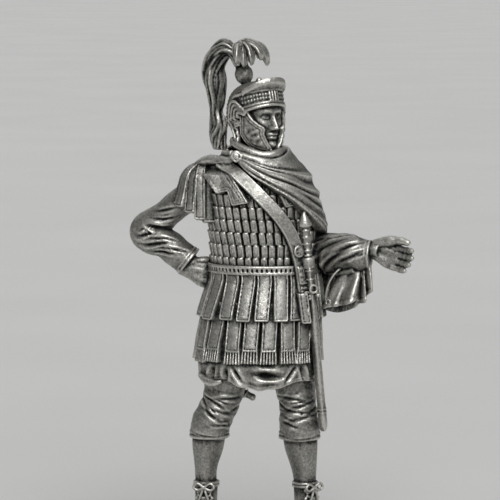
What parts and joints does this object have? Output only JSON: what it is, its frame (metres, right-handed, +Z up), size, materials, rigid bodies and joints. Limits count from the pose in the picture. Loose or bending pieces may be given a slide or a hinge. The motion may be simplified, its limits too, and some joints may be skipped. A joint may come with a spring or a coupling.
{
  "type": "lead soldier",
  "caption": "Cast metal collector's figure of a Roman officer in helmet and scale armour, hand on hip, on a low flat base.",
  "frame": {"origin": "centre of the base's flat underside", "axes": "+Z up along the standing figure, -Y the way the figure's chest faces, +X towards its left hand"},
  "size_m": [0.0344, 0.022, 0.0661],
  "materials": {
    "figure": "lead alloy, blackened in the hollows and rubbed bright on the high spots",
    "base": "lead alloy, blackened, with a rough cast ground"
  },
  "bodies": {
    "root": {"figure": "figure", "base": "base"}
  },
  "joints": []
}
